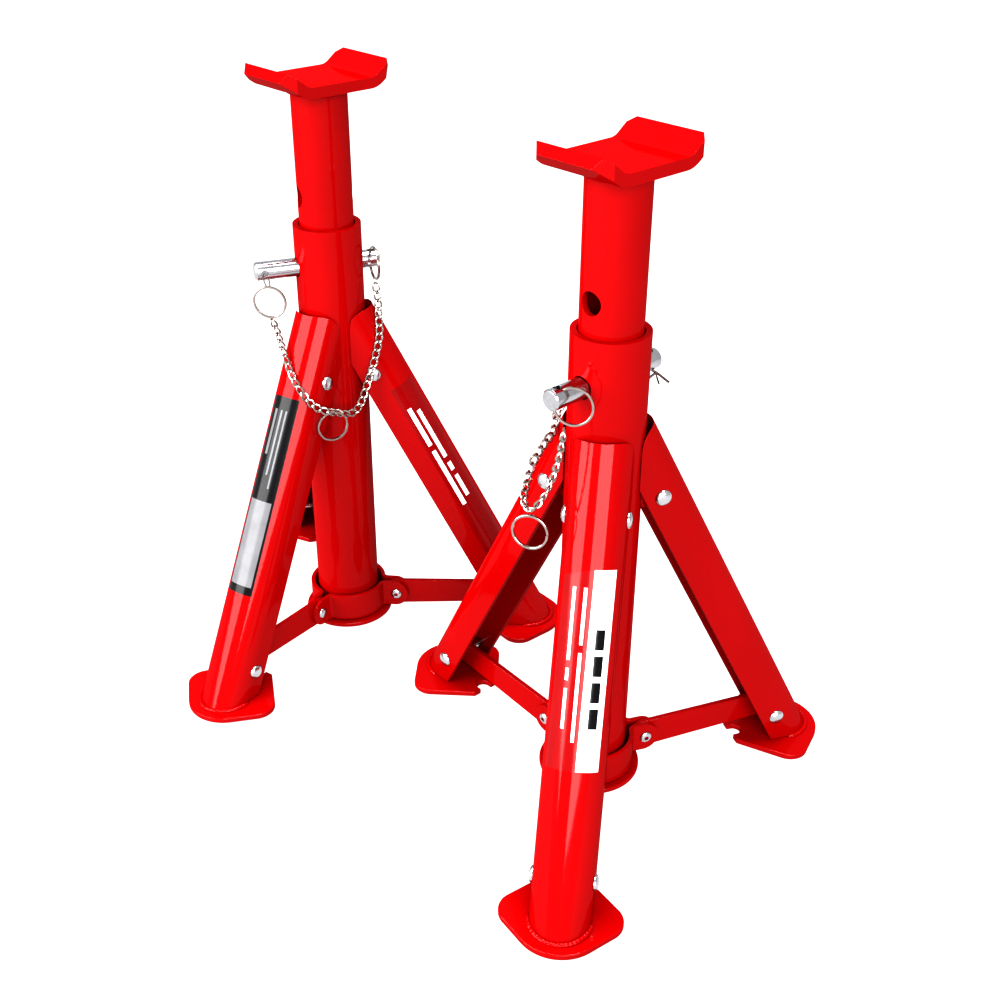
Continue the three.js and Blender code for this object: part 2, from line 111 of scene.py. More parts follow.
# Each stand's bearing of leg 1, pin shift, turns of its saddle and of its pin's front hole, chain route (from
# its post axis) and loose ring.
STANDS = {
    "stand1": {
        "bearing": math.radians(-100), "pin_shift": 3.5 * MM, "saddle_turn": 0.0, "front_turn": 0.0,
        "chain": [
            (-0.0223, -0.0266, 0.231), (-0.023, -0.029, 0.2265), (-0.0245, -0.033, 0.22),
            (-0.027, -0.0365, 0.212), (-0.0305, -0.039, 0.2035), (-0.0355, -0.04, 0.196),
            (-0.0395, -0.037, 0.193), (-0.041, -0.0305, 0.195), (-0.04, -0.023, 0.198),
            (-0.038, -0.0155, 0.203), (-0.0345, -0.0095, 0.2085), (-0.0305, -0.004, 0.212),
            (-0.026, 0.0035, 0.215), (-0.025, 0.0095, 0.22), (-0.0215, 0.014, 0.2255),
            (-0.0165, 0.018, 0.231), (-0.012, 0.022, 0.2335), (-0.0065, 0.026, 0.2335),
            (0.001, 0.028, 0.232), (0.007, 0.0285, 0.231), (0.0125, 0.0275, 0.233), (0.016, 0.0255, 0.2355),
        ],
        "spare": {"at": (-0.038, -0.0393, 0.1816), "turn": math.radians(-20)},
    },
    "stand2": {
        "bearing": math.radians(-122.5), "pin_shift": 7.2 * MM, "saddle_turn": math.radians(22),
        "front_turn": math.pi / 2,
        "chain": [
            (-0.0345, -0.0134, 0.2165), (-0.0315, -0.017, 0.211), (-0.028, -0.025, 0.205),
            (-0.0245, -0.032, 0.198), (-0.0205, -0.038, 0.19), (-0.0155, -0.0425, 0.1825),
            (-0.0095, -0.044, 0.175), (-0.003, -0.043, 0.17), (0.0035, -0.039, 0.1675),
            (0.0095, -0.0345, 0.164), (0.014, -0.0305, 0.1635), (0.018, -0.0275, 0.168),
            (0.021, -0.025, 0.177), (0.0245, -0.0225, 0.1865), (0.0275, -0.019, 0.197),
            (0.0295, -0.0145, 0.2065), (0.029, -0.0085, 0.217), (0.0285, -0.003, 0.2265),
            (0.027, 0.0005, 0.234),
        ],
        "spare": {"at": (0.002, -0.0415, 0.1595), "turn": math.radians(25)},
    },
}


# ---- places ----
def post_axis(stand):
    low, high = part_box(f"{stand}_post_flange")
    return Vector(((low.x + high.x) / 2, (low.y + high.y) / 2, 0))


def stand_matrix(stand, bearing):
    return Matrix.Translation(post_axis(stand)) @ Matrix.Rotation(bearing, 4, "Z")


def leg_matrix(stand, number):
    return stand_matrix(stand, STANDS[stand]["bearing"] + LEG_BEARINGS[number])


def pin_matrix(stand):
    return stand_matrix(stand, STANDS[stand]["bearing"] + PIN_BEARING)


# ---- camera, floor and lights ----
def add_camera():
    data = bpy.data.cameras.new("camera")
    data.sensor_width = CAMERA["sensor"]
    data.lens = CAMERA["lens"]
    data.clip_start = 0.01
    camera = bpy.data.objects.new("camera", data)
    bpy.context.scene.collection.objects.link(camera)
    place = post_axis("stand1") + CAMERA["from_stand1"]
    pitch = Matrix.Rotation(CAMERA["pitch"], 4, "X")
    roll = Matrix.Rotation(CAMERA["roll"], 4, "Z")
    camera.matrix_world = Matrix.Translation(place) @ pitch @ roll
    bpy.context.scene.camera = camera


def add_softbox(name, place, target, size, power):
    data = bpy.data.lights.new(name, "AREA")
    data.shape = "RECTANGLE"
    data.size, data.size_y = size
    data.energy = power
    lamp = bpy.data.objects.new(name, data)
    bpy.context.scene.collection.objects.link(lamp)
    aim = Vector(target) - Vector(place)
    lamp.matrix_world = Matrix.Translation(place) @ aim.to_track_quat("-Z", "Y").to_matrix().to_4x4()


def add_studio():
    world = bpy.data.worlds.new("studio")
    bpy.context.scene.world = world
    world.use_nodes = True
    background = world.node_tree.nodes["Background"]
    background.inputs["Color"].default_value = (1, 1, 1, 1)
    background.inputs["Strength"].default_value = WORLD_STRENGTH
    middle = (0, 0, 0.16)
    add_softbox("left_softbox", (-1.5, -0.63, 0.85), middle, (1.6, 1.3), 88)
    add_softbox("front_softbox", (0.44, -1.85, 0.9), middle, (1.6, 1.1), 75)
    add_softbox("overhead_softbox", (0, 0.1, 1.7), middle, (1.0, 0.8), 50)
    bpy.context.scene.view_settings.view_transform = "Standard"
    bpy.context.scene.view_settings.look = "High Contrast"


# ---- mesh building ----
def mesh_of(name, points, faces):
    mesh = bpy.data.meshes.new(name)
    mesh.from_pydata([tuple(p) for p in points], [], faces)
    mesh.validate()
    return mesh


def skin(name, rings, loop=False, caps=True):
    """Quads between one closed ring of points and the next; loop joins the last ring to the first."""
    count = len(rings[0])
    points = [p for ring in rings for p in ring]
    faces = []
    for i in range(len(rings) if loop else len(rings) - 1):
        a, b = i * count, (i + 1) % len(rings) * count
        for j in range(count):
            k = (j + 1) % count
            faces.append((a + j, a + k, b + k, b + j))
    if caps and not loop:
        last = (len(rings) - 1) * count
        faces.append(tuple(range(count))[::-1])
        faces.append(tuple(last + j for j in range(count)))
    return mesh_of(name, points, faces)


def lathe(name, profile, steps=96):
    """A closed (radius, height) outline turned about z."""
    rings = []
    for i in range(steps):
        a = 2 * math.pi * i / steps
        rings.append([(r * math.cos(a), r * math.sin(a), h) for r, h in profile])
    return skin(name, rings, loop=True)


def spindle(name, profile, steps=48):
    """A (radius, height) outline from one end of the z axis to the other, turned about z."""
    rings = []
    for r, h in profile[1:-1]:
        turn = [2 * math.pi * i / steps for i in range(steps)]
        rings.append([(r * math.cos(a), r * math.sin(a), h) for a in turn])
    return skin(name, rings)


def prism(name, outline, bottom, top):
    return skin(name, [[(x, y, bottom) for x, y in outline], [(x, y, top) for x, y in outline]])


def side_prism(name, outline, near, far):
    """An (x, z) outline thickened along y."""
    mesh = prism(name, outline, near, far)
    mesh.transform(Matrix(((1, 0, 0, 0), (0, 0, 1, 0), (0, 1, 0, 0), (0, 0, 0, 1))))
    mesh.flip_normals()
    return mesh


def sweep(name, path, radius, sides=10, loop=False):
    """A round wire along a path. radius is a number, or one number for each point."""
    count = len(path)
    radii = radius if isinstance(radius, list) else [radius] * count
    normal = None
    rings = []
    for i, point in enumerate(path):
        before = path[i - 1] if loop or i else path[0]
        after = path[(i + 1) % count] if loop or i < count - 1 else path[-1]
        tangent = (after - before).normalized()
        if normal is None:
            normal = Vector((0, 0, 1)) if abs(tangent.z) < 0.9 else Vector((1, 0, 0))
        normal = (normal - tangent * normal.dot(tangent)).normalized()
        other = tangent.cross(normal)
        ring = []
        for j in range(sides):
            a = 2 * math.pi * j / sides
            ring.append(point + (normal * math.cos(a) + other * math.sin(a)) * radii[i])
        rings.append(ring)
    return skin(name, rings, loop=loop)


def joined(name, meshes):
    points, faces = [], []
    for mesh in meshes:
        base = len(points)
        points += [v.co.copy() for v in mesh.vertices]
        faces += [tuple(base + i for i in p.vertices) for p in mesh.polygons]
    return mesh_of(name, points, faces)


def combine(mesh, other, operation):
    """mesh with other joined to it or cut out of it."""
    scene = bpy.context.scene.collection.objects
    target = bpy.data.objects.new("target", mesh)
    tool = bpy.data.objects.new("tool", other)
    scene.link(target)
    scene.link(tool)
    modifier = target.modifiers.new("combine", "BOOLEAN")
    modifier.operation = operation
    modifier.solver = "EXACT"
    modifier.object = tool
    graph = bpy.context.evaluated_depsgraph_get()
    result = bpy.data.meshes.new_from_object(target.evaluated_get(graph))
    bpy.data.objects.remove(target)
    bpy.data.objects.remove(tool)
    result.name = mesh.name
    return result


def rod(radius, start, end, sides=48):
    return sweep("rod", [Vector(start), Vector(end)], radius, sides)


def arc(centre, radius, start, end, steps):
    turns = [start + (end - start) * i / steps for i in range(steps + 1)]
    return [(centre[0] + radius * math.cos(a), centre[1] + radius * math.sin(a)) for a in turns]


# ---- pieces ----
def add_piece(name, mesh, matrix, material, body, replaces=(), edge=0.0, sharp=32):
    """Puts a mesh in place as a named piece on a body, smooth but for its sharp edges, which are rounded."""
    mesh.transform(matrix)
    mesh.materials.clear()
    mesh.materials.append(material)
    mesh.polygons.foreach_set("use_smooth", [True] * len(mesh.polygons))
    mesh.set_sharp_from_angle(angle=math.radians(sharp))
    piece = bpy.data.objects.new(name, mesh)
    bpy.context.scene.collection.objects.link(piece)
    if edge:
        bevel = piece.modifiers.new("edges", "BEVEL")
        bevel.width = edge
        bevel.segments = 3
        bevel.limit_method = "ANGLE"
        bevel.angle_limit = math.radians(sharp)
        bevel.harden_normals = True
    if body:
        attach(piece, body)
    if replaces:
        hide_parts(*replaces)
    return piece


# ---- materials ----
def principled(name, **values):
    material = bpy.data.materials.new(name)
    material.use_nodes = True
    shader = material.node_tree.nodes["Principled BSDF"]
    for key, value in values.items():
        shader.inputs[key.replace("_", " ")].default_value = value
    return material, shader


def noise(tree, scale, detail=3.0, stretch=None):
    coordinates = tree.nodes.new("ShaderNodeTexCoord")
    texture = tree.nodes.new("ShaderNodeTexNoise")
    texture.inputs["Scale"].default_value = scale
    texture.inputs["Detail"].default_value = detail
    source = coordinates.outputs["Object"]
    if stretch:
        mapping = tree.nodes.new("ShaderNodeMapping")
        mapping.inputs["Scale"].default_value = stretch
        tree.links.new(source, mapping.inputs["Vector"])
        source = mapping.outputs["Vector"]
    tree.links.new(source, texture.inputs["Vector"])
    return texture.outputs["Fac"]


def ramp(tree, source, stops):
    node = tree.nodes.new("ShaderNodeValToRGB")
    elements = node.color_ramp.elements
    for i, (position, colour) in enumerate(stops):
        element = elements[i] if i < 2 else elements.new(position)
        element.position = position
        element.color = (*colour, 1)
    tree.links.new(source, node.inputs["Fac"])
    return node.outputs["Color"]


def spread(tree, source, low, high):
    node = tree.nodes.new("ShaderNodeMapRange")
    node.inputs["To Min"].default_value = low
    node.inputs["To Max"].default_value = high
    tree.links.new(source, node.inputs["Value"])
    return node.outputs["Result"]


def bump(tree, source, shader, strength, distance):
    node = tree.nodes.new("ShaderNodeBump")
    node.inputs["Strength"].default_value = strength
    node.inputs["Distance"].default_value = distance
    tree.links.new(source, node.inputs["Height"])
    tree.links.new(node.outputs["Normal"], shader.inputs["Normal"])


def red_enamel():
    material, shader = principled("red_enamel", Coat_Weight=0.045, Coat_Roughness=0.07, Coat_IOR=2.5,
                                  Specular_IOR_Level=0.0)
    tree = material.node_tree
    tint = ramp(tree, noise(tree, 14), [(0.3, (0.18, 0.0002, 0.0006)), (0.7, (0.2, 0.0003, 0.001))])
    tree.links.new(tint, shader.inputs["Base Color"])
    tree.links.new(spread(tree, noise(tree, 55), 0.16, 0.3), shader.inputs["Roughness"])
    bump(tree, noise(tree, 420, 2.0), shader, 0.05, 0.0004)
    return material


def bright_metal(name, colour, low, high, scale, stretch=None):
    material, shader = principled(name, Metallic=1.0)
    tree = material.node_tree
    darker = tuple(c * 0.86 for c in colour)
    tint = ramp(tree, noise(tree, scale / 4), [(0.35, darker), (0.65, colour)])
    tree.links.new(tint, shader.inputs["Base Color"])
    grain = noise(tree, scale, 4.0, stretch)
    tree.links.new(spread(tree, grain, low, high), shader.inputs["Roughness"])
    bump(tree, grain, shader, 0.08, 0.0002)
    return material


def label_film(name, colour, shade):
    material, shader = principled(name, Coat_Weight=0.045, Coat_Roughness=0.12, Coat_IOR=2.5,
                                  Specular_IOR_Level=0.05)
    tree = material.node_tree
    tint = ramp(tree, noise(tree, 90), [(0.3, shade), (0.7, colour)])
    tree.links.new(tint, shader.inputs["Base Color"])
    tree.links.new(spread(tree, noise(tree, 160), 0.25, 0.36), shader.inputs["Roughness"])
    return material


def floor_paper():
    material, shader = principled("floor_paper", Specular_IOR_Level=0.0, Emission_Strength=0.8)
    tree = material.node_tree
    shader.inputs["Emission Color"].default_value = (1, 1, 1, 1)
    tint = ramp(tree, noise(tree, 3), [(0.3, (0.12, 0.12, 0.12)), (0.7, (0.125, 0.125, 0.125))])
    tree.links.new(tint, shader.inputs["Base Color"])
    tree.links.new(spread(tree, noise(tree, 40), 0.7, 0.8), shader.inputs["Roughness"])
    return material


RED = red_enamel()
CHROME = bright_metal("chrome", (0.42, 0.42, 0.44), 0.08, 0.24, 700, (1, 1, 6))
SAWN = bright_metal("sawn_chrome", (0.3, 0.3, 0.31), 0.3, 0.5, 1500, (1, 1, 8))
NICKEL = bright_metal("nickel", (0.33, 0.29, 0.27), 0.14, 0.28, 900)
DARK_WIRE = bright_metal("dark_wire", (0.05, 0.028, 0.03), 0.25, 0.4, 900)
ZINC = bright_metal("rivet_zinc", (0.46, 0.46, 0.48), 0.12, 0.28, 600)
LABEL_RED = label_film("label_red", (0.15, 0.0005, 0.0015), (0.13, 0.0003, 0.001))
LABEL_WHITE = label_film("label_white", (0.62, 0.62, 0.62), (0.58, 0.58, 0.58))
LABEL_BLACK = label_film("label_black", (0.003, 0.003, 0.0035), (0.002, 0.002, 0.0025))
LABEL_GREY = label_film("label_grey", (0.1, 0.1, 0.105), (0.08, 0.08, 0.085))


# ---- post and flange ----
def lug_outline():
    """One lug plate seen from the side: square at the post, round about the leg's pivot."""
    low, high = LEG_PIVOT.z - LUG["radius"], LEG_PIVOT.z + LUG["radius"]
    nose = arc((LEG_PIVOT.x, LEG_PIVOT.z), LUG["radius"], math.pi / 2, -math.pi / 2, 24)
    return [(LUG["root"], high)] + nose + [(LUG["root"], low)]


def tube_mesh(name, sizes):
    """A tube about z, in rows of short faces."""
    rows = 40
    heights = [sizes["bottom"] + (sizes["top"] - sizes["bottom"]) * i / rows for i in range(rows + 1)]
    outside = [(sizes["outer"], h) for h in heights]
    return lathe(name, outside + [(sizes["inner"], h) for h in heights[::-1]])


def post_mesh():
    body = tube_mesh("post", POST)
    for number, bearing in LEG_BEARINGS.items():
        turn = Matrix.Rotation(bearing, 4, "Z")
        for side in (1, -1):
            near = side * LUG["inner"]
            far = side * (LUG["inner"] + LUG["thickness"])
            plate = side_prism("lug", lug_outline(), min(near, far), max(near, far))
            plate.transform(turn)
            body = combine(body, plate, "UNION")
    bore = rod(PIN_HOLE, (-0.04, 0, PIN_HEIGHT), (0.04, 0, PIN_HEIGHT))
    bore.transform(Matrix.Rotation(PIN_BEARING, 4, "Z"))
    return combine(body, bore, "DIFFERENCE")


def weld(name, path, radius, loop=False):
    """A weld bead: a round wire whose thickness ripples along it, and fades at open ends."""
    radii = []
    for i in range(len(path)):
        fade = 1 if loop else min(1, (i + 1) / 9, (len(path) - i) / 9)
        ripple = 1 + 0.07 * math.sin(i * 1.3) + 0.04 * math.sin(i * 0.45)
        radii.append(radius * ripple * math.sqrt(fade))
    return sweep(name, path, radii, 12, loop=loop)


def circle_path(radius, height, steps=120):
    turns = [2 * math.pi * i / steps for i in range(steps)]
    return [Vector((radius * math.cos(a), radius * math.sin(a), height)) for a in turns]


def lug_welds(stand):
    """A short bead down the outer face of every lug where it meets the post."""
    beads = []
    for bearing in LEG_BEARINGS.values():
        for side in (1, -1):
            lateral = side * (LUG["inner"] + LUG["thickness"] + 0.3 * MM)
            reach = math.sqrt(POST["outer"] ** 2 - lateral ** 2) + 0.3 * MM
            low = LEG_PIVOT.z - LUG["radius"] + 1.5 * MM
            path = [Vector((reach, lateral, low + i * 0.4 * MM)) for i in range(31)]
            bead = weld("bead", path, 1.1 * MM)
            bead.transform(Matrix.Rotation(bearing, 4, "Z"))
            beads.append(bead)
    return joined(f"{stand}_lug_welds", beads)


def add_post(stand):
    body = f"{stand}_frame"
    place = stand_matrix(stand, STANDS[stand]["bearing"])
    add_piece(f"{stand}_fine_post", post_mesh(), place, RED, body,
              [f"{stand}_post_tube"], EDGE)
    profile = [(POST["inner"], FLANGE["bottom"]), (FLANGE["outer"], FLANGE["bottom"]),
               (FLANGE["outer"], FLANGE["top"]), (POST["inner"], FLANGE["top"])]
    add_piece(f"{stand}_fine_flange", lathe("flange", profile), place, RED, body,
              [f"{stand}_post_flange"], 0.8 * MM)
    seam = weld("seam", circle_path(POST["outer"] + 0.4 * MM, 5.9 * MM), 1.3 * MM, loop=True)
    add_piece(f"{stand}_flange_weld", seam, place, RED, body)
    add_piece(f"{stand}_lug_weld", lug_welds(stand), place, RED, body)


# ---- column and saddle ----
def column_mesh():
    body = tube_mesh("column", COLUMN)
    for step in (1, 0, -1, -2):
        height = PIN_HEIGHT + step * NOTCH_PITCH
        body = combine(body, rod(PIN_HOLE, (-0.03, 0, height), (0.03, 0, height)), "DIFFERENCE")
    return body


def saddle_mesh():
    """A strip bent up at both ends, its corners cut off in plan."""
    bend, angle, thick = SADDLE["bend"], SADDLE["lip_angle"], SADDLE["thickness"]
    top = SADDLE["bottom"] + thick
    steps = 14
    upper, lower = [], []
    for i in range(steps + 1):
        a = angle * i / steps
        upper.append((SADDLE["flat_half"] + bend * math.sin(a), top + bend * (1 - math.cos(a))))
        outer = bend + thick
        lower.append((SADDLE["flat_half"] + outer * math.sin(a), top + bend - outer * math.cos(a)))
    run = (SADDLE["lip"] * math.cos(angle), SADDLE["lip"] * math.sin(angle))
    upper.append((upper[-1][0] + run[0], upper[-1][1] + run[1]))
    lower.append((lower[-1][0] + run[0], lower[-1][1] + run[1]))
    right = lower + upper[::-1]
    outline = right + [(-x, z) for x, z in right[::-1]]
    half = SADDLE["half_width"]
    strip = side_prism("saddle", outline, -half, half)
    reach = lower[-1][0]
    cut = SADDLE["corner"]
    corners = [(reach, half - cut), (reach - cut, half), (cut - reach, half), (-reach, half - cut)]
    plan = corners + [(-x, -y) for x, y in corners]
    return combine(strip, prism("plan", plan, SADDLE["bottom"] - 0.01, top + 0.04), "INTERSECT")


def add_column(stand):
    body = f"{stand}_column"
    place = pin_matrix(stand)
    add_piece(f"{stand}_fine_column", column_mesh(), place, RED, body,
              [f"{stand}_column_tube"], EDGE)
    turn = Matrix.Rotation(STANDS[stand]["saddle_turn"], 4, "Z")
    add_piece(f"{stand}_fine_saddle", saddle_mesh(), place @ turn, RED, body,
              [f"{stand}_saddle"], 0.9 * MM)
    round_column = circle_path(COLUMN["outer"] + 0.8 * MM, SADDLE["bottom"] - 0.7 * MM)
    bead = weld("bead", round_column, 1.7 * MM, loop=True)
    add_piece(f"{stand}_saddle_weld", bead, place, RED, body)


# ---- legs, feet and rivets ----
def leg_section(radius):
    """Half-round section, open towards the post, as (a, b) with a outwards and b across."""
    side = LEG["side"]
    flat = 5
    points = [(-side + side * i / flat, radius) for i in range(flat)]
    points += arc((0, 0), radius, math.pi / 2, -math.pi / 2, 40)
    return points + [(-side * (i + 1) / flat, -radius) for i in range(flat)]


def leg_point(a, b, run):
    sin, cos = math.sin(LEG["lean"]), math.cos(LEG["lean"])
    return Vector((LEG_PIVOT.x + run * sin + a * cos, b, LEG_PIVOT.z - run * cos + a * sin))


def leg_top(a, b):
    """How far down the leg the oval cut that clears the post is; negative is above the pivot."""
    reach = LEG_MOUTH[0] * math.sqrt(1 - (b / LEG_MOUTH[1]) ** 2)
    return (reach - LEG_PIVOT.x - a * math.cos(LEG["lean"])) / math.sin(LEG["lean"])


def leg_bottom(a):
    ground = FOOT["thickness"] + 0.3 * MM
    return (LEG_PIVOT.z + a * math.sin(LEG["lean"]) - ground) / math.cos(LEG["lean"])


def slab(name, front, back):
    """A closed shell between two matching grids of points."""
    rows, cols = len(front), len(front[0])
    points = [p for row in front for p in row] + [p for row in back for p in row]
    base = rows * cols
    faces = []
    for i in range(rows - 1):
        for j in range(cols - 1):
            a, b, c, d = i * cols + j, i * cols + j + 1, (i + 1) * cols + j + 1, (i + 1) * cols + j
            faces += [(a, b, c, d), (base + d, base + c, base + b, base + a)]
    for i in range(rows - 1):
        for j in (0, cols - 1):
            a, b = i * cols + j, (i + 1) * cols + j
            side = (a, b, base + b, base + a)
            faces.append(side if j == 0 else side[::-1])
    for j in range(cols - 1):
        for i in (0, rows - 1):
            a, b = i * cols + j, i * cols + j + 1
            side = (a, b, base + b, base + a)
            faces.append(side[::-1] if i == 0 else side)
    return mesh_of(name, points, faces)


def leg_mesh():
    steps = 36
    outer = leg_section(LEG["radius"])
    inner = leg_section(LEG["radius"] - LEG["wall"])
    grids = []
    for section in (outer, inner):
        grid = []
        for i in range(steps + 1):
            s = i / steps
            row = []
            for a, b in section:
                row.append(leg_point(a, b, leg_top(a, b) * (1 - s) + leg_bottom(a) * s))
            grid.append(row)
        grids.append(grid)
    mesh = slab("leg", grids[0], grids[1])
    mesh.flip_normals()
    return mesh


def foot_mesh():
    """A square plate set cornerwise, its front and side corners rounded and its rear one notched."""
    inner, tip, notch = FOOT["inner"], FOOT["tip"], FOOT["notch"]
    half = [(inner, notch), (inner, tip)]
    half += arc(FOOT["side"], FOOT["side_radius"], 3 * math.pi / 4, math.pi / 4, 20)
    half += arc((FOOT["front"], 0), FOOT["front_radius"], math.pi / 4, 0, 24)
    mirrored = [(x, -y) for x, y in half[-2::-1]]
    slot = arc((inner + FOOT["notch_depth"] - notch, 0), notch, -math.pi / 2, math.pi / 2, 16)
    return prism("foot", half[::-1] + slot[::-1] + mirrored[::-1], 0, FOOT["thickness"])


def foot_weld():
    """The bead round the outside of the leg where it stands on its foot plate."""
    path = []
    steps = 120
    radius = LEG["radius"] + 0.7 * MM
    for i in range(steps + 1):
        angle = math.radians(-88 + 176 * i / steps)
        a, b = radius * math.cos(angle), radius * math.sin(angle)
        point = leg_point(a, b, leg_bottom(a))
        path.append(Vector((point.x, point.y, FOOT["thickness"] + 0.3 * MM)))
    return weld("bead", path, 1.4 * MM)


def dome(radius, height, seat):
    """(radius, height) points of a rivet head from its rim to its crown."""
    points = []
    for i in range(9):
        a = math.pi / 2 * i / 9
        points.append((radius * math.cos(a), seat + height * math.sin(a)))
    return points + [(0.05 * MM, seat + height)]


def rivet_mesh(sizes, seat, buried):
    head, shank, height = sizes["head"], sizes["shank"], sizes["dome"]
    upper = [(head, seat - buried)] + dome(head, height, seat)
    lower = [(r, -h) for r, h in upper]
    middle = [(shank, buried - seat), (shank, seat - buried)]
    profile = [(0, 0)] + lower[::-1] + middle + upper + [(0, 0)]
    mesh = spindle("rivet", profile, 40)
    mesh.transform(Matrix.Rotation(math.pi / 2, 4, "X"))
    return mesh


def hollow_rivet(mesh, sizes, seat, side):
    """The rolled-over end of a semi-tubular rivet: a hole up its middle."""
    end = side * (seat + sizes["dome"] + 1 * MM)
    hole = rod(0.55 * sizes["shank"], (0, end, 0), (0, end - side * 3.4 * MM, 0), 32)
    return combine(mesh, hole, "DIFFERENCE")


def add_leg(stand, number):
    body = f"{stand}_leg_set_{number}"
    place = leg_matrix(stand, number)
    add_piece(f"{stand}_fine_leg_{number}", leg_mesh(), place, RED, body,
              [f"{stand}_leg_{number}"], EDGE)
    add_piece(f"{stand}_fine_foot_{number}", foot_mesh(), place, RED, body,
              [f"{stand}_foot_{number}"], 0.7 * MM)
    add_piece(f"{stand}_foot_weld_{number}", foot_weld(), place, RED, body)
    for kind, pivot in (("leg_rivet", LEG_PIVOT), ("foot_rivet", FOOT_PIVOT)):
        mesh = rivet_mesh(LEG_RIVET, LEG["radius"] + 0.1 * MM, 0.6 * MM)
        add_piece(f"{stand}_fine_{kind}_{number}", mesh, place @ Matrix.Translation(pivot), ZINC, body,
                  [f"{stand}_{kind}_{number}"], 0.25 * MM)


# ---- struts and collar ----
def strut_mesh():
    reach = (FOOT_PIVOT - COLLAR_PIVOT).length
    half = STRUT["half_height"]
    outline = arc((reach, 0), STRUT["far_half"], math.pi / 2, -math.pi / 2, 32)
    outline += arc((0, 0), half, -math.pi / 2, -3 * math.pi / 2, 32)
    return side_prism("strut", outline, -STRUT["thickness"] / 2, STRUT["thickness"] / 2)


def strap_path(bearing_a, bearing_b):
    """Centre line of one strap as (point, half height), from one ear round the collar to the next."""
    radius, bend, lateral = COLLAR["radius"], COLLAR["bend"], COLLAR["ear_lateral"]
    centre_y = lateral + bend
    centre_x = math.sqrt((radius + bend) ** 2 - centre_y ** 2)
    wrap = math.atan2(centre_y, centre_x)
    half = COLLAR["half_height"]
    nose = COLLAR_PIVOT.x - 1 * MM
    ear = []
    for i in range(12):
        a = math.radians(86) * (1 - i / 11)
        ear.append((Vector((nose + half * math.sin(a), lateral, 0)), half * math.cos(a)))
    ear.append((Vector(((nose + centre_x) / 2, lateral, 0)), half))
    for i in range(9):
        a = -math.pi / 2 - (math.pi / 2 - wrap) * i / 8
        place = Vector((centre_x + bend * math.cos(a), centre_y + bend * math.sin(a), 0))
        ear.append((place, half))
    start = Matrix.Rotation(bearing_a, 3, "Z")
    end = Matrix.Rotation(bearing_b, 3, "Z")
    path = [(start @ p, h) for p, h in ear]
    steps = 40
    for i in range(1, steps):
        a = bearing_a + wrap + (bearing_b - bearing_a - 2 * wrap) * i / steps
        path.append((Vector((radius * math.cos(a), radius * math.sin(a), 0)), half))
    path += [(end @ Vector((p.x, -p.y, 0)), h) for p, h in ear[::-1]]
    return path


def strap_mesh(bearing_a, bearing_b):
    path = strap_path(bearing_a, bearing_b)
    rings = []
    for i, (point, half) in enumerate(path):
        before = path[max(i - 1, 0)][0]
        after = path[min(i + 1, len(path) - 1)][0]
        along = (after - before).normalized()
        across = Vector((along.y, -along.x, 0)) * (COLLAR["wall"] / 2)
        up = Vector((0, 0, half))
        rings.append([point + across - up, point - across - up, point - across + up, point + across + up])
    return skin("strap", rings)


def add_collar(stand):
    place = stand_matrix(stand, STANDS[stand]["bearing"]) @ Matrix.Translation((0, 0, COLLAR_PIVOT.z))
    ends = [LEG_BEARINGS[1], LEG_BEARINGS[2], LEG_BEARINGS[3], LEG_BEARINGS[1] + 2 * math.pi]
    for number in (1, 2, 3):
        strap = strap_mesh(ends[number - 1], ends[number])
        add_piece(f"{stand}_fine_strap_{number}", strap, place, RED, f"{stand}_collar",
                  [f"{stand}_collar_strap_{number}"], EDGE)
        seat = COLLAR["ear_lateral"] + COLLAR["wall"] / 2 + 0.1 * MM
        side = 1 if number == 3 else -1
        rivet = hollow_rivet(rivet_mesh(COLLAR_RIVET, seat, 0.4 * MM), COLLAR_RIVET, seat, side)
        at = leg_matrix(stand, number) @ Matrix.Translation(COLLAR_PIVOT)
        add_piece(f"{stand}_fine_collar_rivet_{number}", rivet, at, ZINC, f"{stand}_collar",
                  [f"{stand}_collar_rivet_{number}"], 0.2 * MM)
        rise = FOOT_PIVOT - COLLAR_PIVOT
        tilt = Matrix.Rotation(-math.atan2(rise.z, rise.x), 4, "Y")
        add_piece(f"{stand}_fine_strut_{number}", strut_mesh(), at @ tilt, RED,
                  f"{stand}_strut_arm_{number}", [f"{stand}_strut_{number}"], EDGE)


# ---- pin, rings and chain ----
def pin_mesh(front_turn):
    """The pin along x. Its rear cross hole is upright, and its front one is turned from upright."""
    radius, half, chamfer = PIN["radius"], PIN["half"], PIN["chamfer"]
    profile = [(0, -half), (radius - chamfer, -half), (radius, chamfer - half),
               (radius, half - chamfer), (radius - chamfer, half), (0, half)]
    body = spindle("pin", profile, 72)
    body.transform(Matrix.Rotation(math.pi / 2, 4, "Y"))
    for end, turn in ((1, front_turn), (-1, 0)):
        bore = rod(PIN["hole"], (0, 0, -0.02), (0, 0, 0.02), 32)
        place = Matrix.Translation((end * (half - PIN["end_to_hole"]), 0, 0))
        bore.transform(place @ Matrix.Rotation(turn, 4, "X"))
        body = combine(body, bore, "DIFFERENCE")
    return body


def split_ring(radius, wire):
    """Two close turns of flat wire about the z axis."""
    section = [(1.15, -0.7), (1.15, 0.7), (0.8, 1), (-0.8, 1),
               (-1.15, 0.7), (-1.15, -0.7), (-0.8, -1), (0.8, -1)]
    rings = []
    steps = 144
    for i in range(steps + 1):
        a = 4 * math.pi * i / steps
        level = 1.02 * wire * (2 * i / steps - 1)
        ring = []
        for dr, dz in section:
            r = radius + dr * wire
            ring.append((r * math.cos(a), r * math.sin(a), level + dz * wire))
        rings.append(ring)
    return skin("ring", rings)


def facing(place, normal):
    turn = Vector(normal).to_track_quat("Z", "Y").to_matrix().to_4x4()
    return Matrix.Translation(place) @ turn


